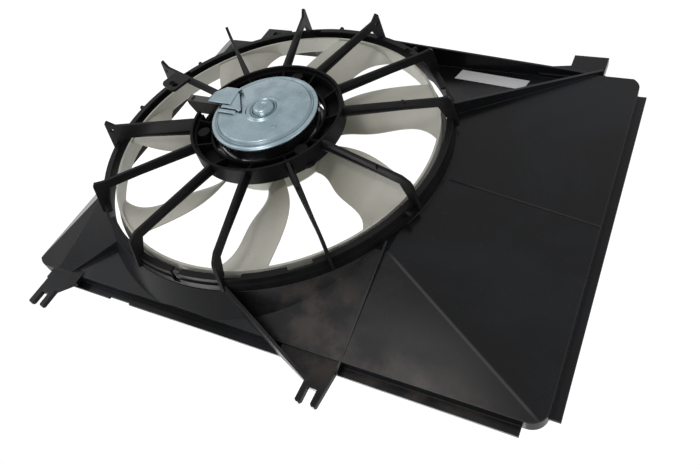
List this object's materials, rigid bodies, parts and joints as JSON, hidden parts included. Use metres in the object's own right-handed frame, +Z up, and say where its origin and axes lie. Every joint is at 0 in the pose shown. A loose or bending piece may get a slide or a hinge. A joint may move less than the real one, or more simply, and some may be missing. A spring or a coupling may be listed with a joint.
{
  "type": "radiator cooling fan",
  "caption": "Engine radiator cooling fan: a rectangular black ducted panel carries a ring fan on an electric motor held by radial struts.",
  "frame": {"origin": "on the front face of the bottom seal strip, at the middle of the panel's width", "axes": "+X to the right seen from the radiator side, +Y from the radiator towards the engine and along the fan axis, +Z up"},
  "size_m": [0.582, 0.0986, 0.5065],
  "materials": {
    "black_polymer": "satin, moulded",
    "natural_nylon": "satin, undyed",
    "black_enamel": "gloss black",
    "zinc_plate": "bluish zinc plate",
    "zinc_steel": "zinc-plated",
    "spring_steel": "plain",
    "ground_steel": "ground",
    "brass": "turned",
    "bronze": "sintered, oiled",
    "copper": "enamelled or turned copper",
    "tin_brass": "tinned",
    "ferrite": "ground ferrite",
    "carbon": "pressed carbon",
    "phenolic": "phenolic board",
    "lamination": "stacked sheet",
    "black_gloss": "moulded",
    "label": "blank white film"
  },
  "bodies": {
    "shroud": {"shroud_panel": "black_polymer", "fan_duct": "black_polymer", "motor_struts": "black_polymer", "motor_carrier": "black_polymer", "screw_inserts": "brass", "motor_screws": "zinc_steel", "motor_can": "black_enamel", "motor_cover": "zinc_plate", "field_magnets": "ferrite", "front_bush": "bronze", "rear_bush": "bronze", "brush_plate": "phenolic", "brushes": "carbon", "brush_springs": "spring_steel", "connector_shell": "black_gloss", "terminals": "tin_brass", "blank_label": "label"},
    "rotor": {"fan_hub": "natural_nylon", "fan_blades": "natural_nylon", "fan_ring": "natural_nylon", "hub_insert": "zinc_steel", "hub_washer": "zinc_steel", "fan_nut": "zinc_steel", "motor_shaft": "ground_steel", "armature_core": "lamination", "armature_winding": "copper", "commutator": "copper"}
  },
  "joints": [
    {"name": "fan_spin", "type": "hinge", "parent": "shroud", "child": "rotor", "pos_m": [-0.068, 0.062, 0.218], "axis": [0, 1, 0], "continuous": true}
  ]
}
